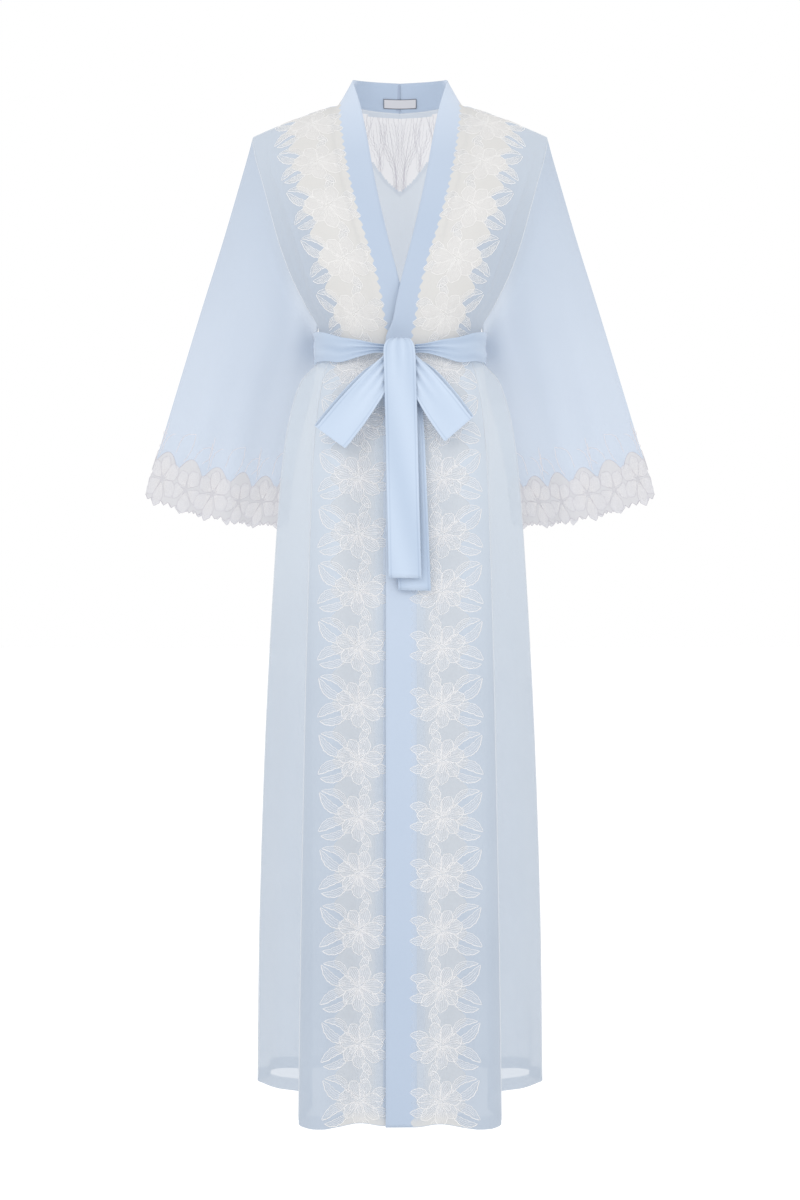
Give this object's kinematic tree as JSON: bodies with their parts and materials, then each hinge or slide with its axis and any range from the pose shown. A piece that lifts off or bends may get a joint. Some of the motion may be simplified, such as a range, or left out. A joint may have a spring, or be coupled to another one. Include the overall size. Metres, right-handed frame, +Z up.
{
  "type": "long robe",
  "caption": "Floor-length wrap robe in sheer pale blue cloth, with wide sleeves, white floral lace down the fronts and on the cuffs, and a tied sash.",
  "frame": {"origin": "between the shoulders, level with the neck ends of the shoulder seams and in their plane, where the wearer holds the robe up", "axes": "+Z up along the hanging robe, -Y out of its front, +X towards the wearer's left"},
  "size_m": [0.7486, 0.3572, 1.4843],
  "materials": {
    "cloth": "sheer pale blue chiffon",
    "band": "smooth pale blue satin, doubled",
    "lace": "white corded embroidery on net",
    "sash": "smooth pale blue satin",
    "tag": "woven, bare"
  },
  "bodies": {
    "root": {"front_left": "cloth", "front_right": "cloth", "back": "cloth", "band_left": "band", "band_right": "band", "sleeve_left": "cloth", "sleeve_right": "cloth", "lace_front_left": "lace", "lace_front_right": "lace", "lace_yoke": "lace", "lace_cuff_left": "lace", "lace_cuff_right": "lace", "sash_waist": "sash", "sash_knot": "sash", "sash_tail_front": "sash", "sash_tail_back": "sash", "sash_loop_left": "sash", "sash_loop_right": "sash", "neck_tag": "tag"}
  },
  "joints": []
}
